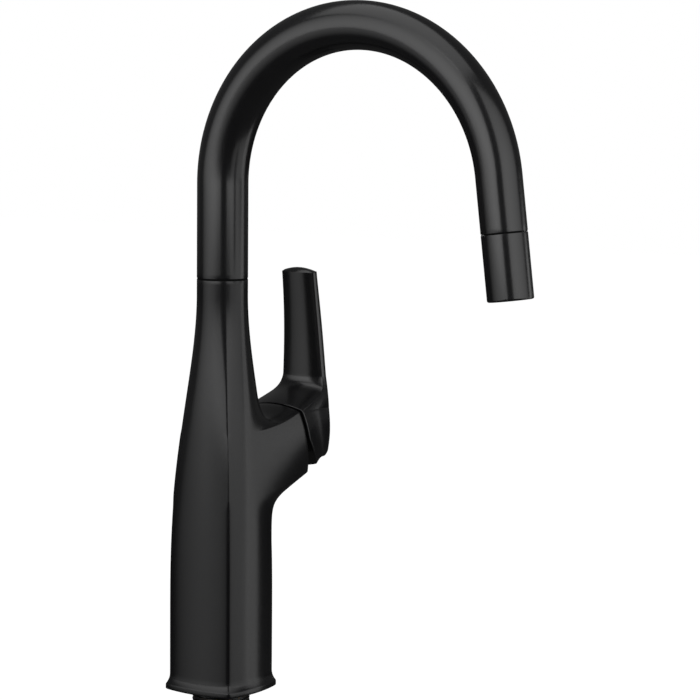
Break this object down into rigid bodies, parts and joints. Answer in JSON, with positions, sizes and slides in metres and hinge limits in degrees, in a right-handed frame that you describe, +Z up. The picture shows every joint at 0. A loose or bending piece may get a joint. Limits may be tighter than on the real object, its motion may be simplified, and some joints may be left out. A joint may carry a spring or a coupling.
{
  "type": "pull-down bar faucet",
  "caption": "Single-lever pull-down bar faucet with a high-arc swivel spout, docked spray head, side lever on a branched square-to-round body and deck mounting hardware.",
  "frame": {"origin": "centre of the body's foot, on the deck plane", "axes": "+Z up from the deck along the body and the swivel axis, -Y from the body towards the outlet, +X from the body towards the lever"},
  "size_m": [0.1124, 0.2241, 0.4909],
  "materials": {
    "black_finish": "matte black coating on cast and drawn brass, soft sheen",
    "black_trim": "moulded black plastic, seam rings and covers",
    "rubber": "black rubber",
    "seal_rubber": "dark red valve rubber",
    "brass": "turned brass, bare",
    "steel": "stainless steel, brushed",
    "magnet": "nickel-plated magnet",
    "acetal": "off-white moulded plastic",
    "ceramic": "white alumina ceramic, lapped",
    "hose_braid": "dark grey braided nylon",
    "grey_plastic": "dark grey moulded plastic",
    "screen_plastic": "light grey moulded plastic"
  },
  "bodies": {
    "faucet_body": {"body_shell": "black_finish", "base_gasket": "rubber", "mounting_shank": "black_finish", "deck_rubber_washer": "rubber", "deck_steel_washer": "steel", "mounting_nut": "brass", "nut_jack_screws": "steel", "swivel_slip_ring": "black_trim", "upper_swivel_bush": "acetal", "lower_swivel_bush": "acetal", "valve_housing": "brass", "cartridge_seals": "seal_rubber", "cartridge_body": "acetal", "fixed_ceramic_disc": "ceramic", "cartridge_nut": "brass", "cartridge_bonnet": "black_trim"},
    "valve_carrier": {"stem_carrier": "acetal", "moving_ceramic_disc": "ceramic", "stem_pivot_pin": "steel"},
    "lever_handle": {"cartridge_stem": "steel", "lever": "black_finish", "lever_set_screw": "steel", "set_screw_plug": "black_trim"},
    "spout": {"spout_tube": "black_finish", "swivel_sleeve": "brass", "sleeve_retaining_ring": "steel", "dock_collar": "black_trim", "dock_magnet": "magnet", "spray_hose": "hose_braid", "hose_tail_fitting": "brass"},
    "spray_head": {"spray_head_shell": "black_finish", "head_dock_ring": "steel", "hose_end_fitting": "brass", "hose_seal": "rubber", "check_valve": "acetal", "aerator_housing": "grey_plastic", "aerator_screen": "screen_plastic", "aerator_seal": "rubber"}
  },
  "joints": [
    {"name": "spout_swivel", "type": "hinge", "parent": "faucet_body", "child": "spout", "pos_m": [0, 0, 0.2286], "axis": [0, 0, 1], "range_deg": [-180, 180]},
    {"name": "spray_pull", "type": "slide", "parent": "spout", "child": "spray_head", "axis": [0, -0.1274, -0.9919], "range_m": [0, 0.4], "stiffness_N_per_m": 6, "springref_m": -0.5},
    {"name": "lever_turn", "type": "hinge", "parent": "faucet_body", "child": "valve_carrier", "pos_m": [0.0532, 0, 0.1335], "axis": [0.9563, 0, 0.2924], "range_deg": [-45, 45]},
    {"name": "lever_tilt", "type": "hinge", "parent": "valve_carrier", "child": "lever_handle", "pos_m": [0.04938, 0, 0.13233], "axis": [0, 1, 0], "range_deg": [0, 18]}
  ]
}
